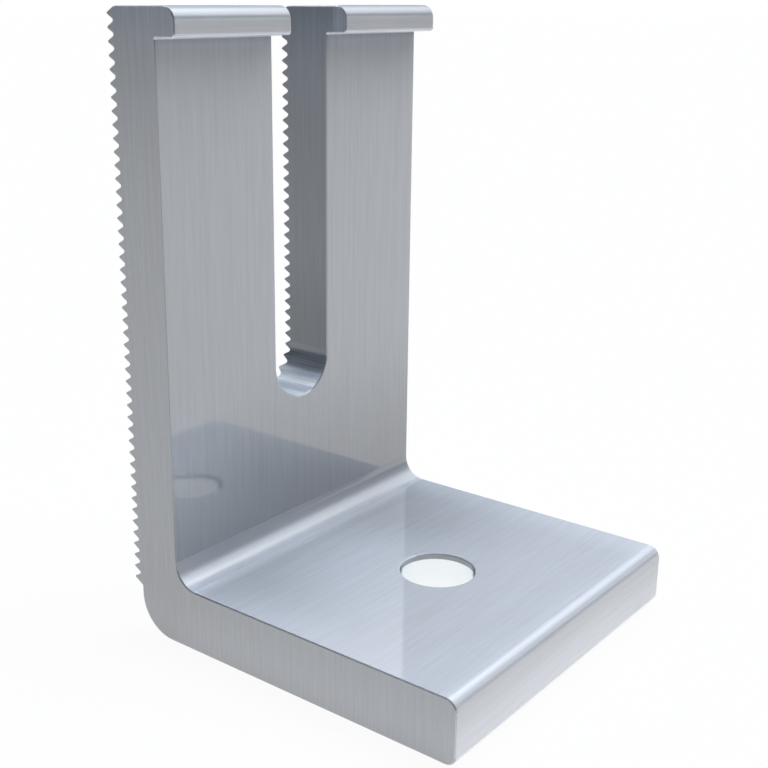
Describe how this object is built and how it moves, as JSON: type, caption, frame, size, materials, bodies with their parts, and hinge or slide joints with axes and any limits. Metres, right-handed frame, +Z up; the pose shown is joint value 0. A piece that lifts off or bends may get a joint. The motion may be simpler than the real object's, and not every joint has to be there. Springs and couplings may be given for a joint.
{
  "type": "solar l-foot",
  "caption": "Aluminium L-foot bracket: an upright leg with a serrated back and an open-topped bolt slot, on a flat base with a fastener hole.",
  "frame": {"origin": "on the axis of the base's hole, on the underside of the base", "axes": "+X from the serrated back to the toe, +Y along the extrusion, +Z up the leg, which is also the way out of the hole"},
  "size_m": [0.0509, 0.05, 0.0795],
  "materials": {
    "l_foot": "fine brushed"
  },
  "bodies": {
    "root": {"l_foot": "l_foot"}
  },
  "joints": []
}
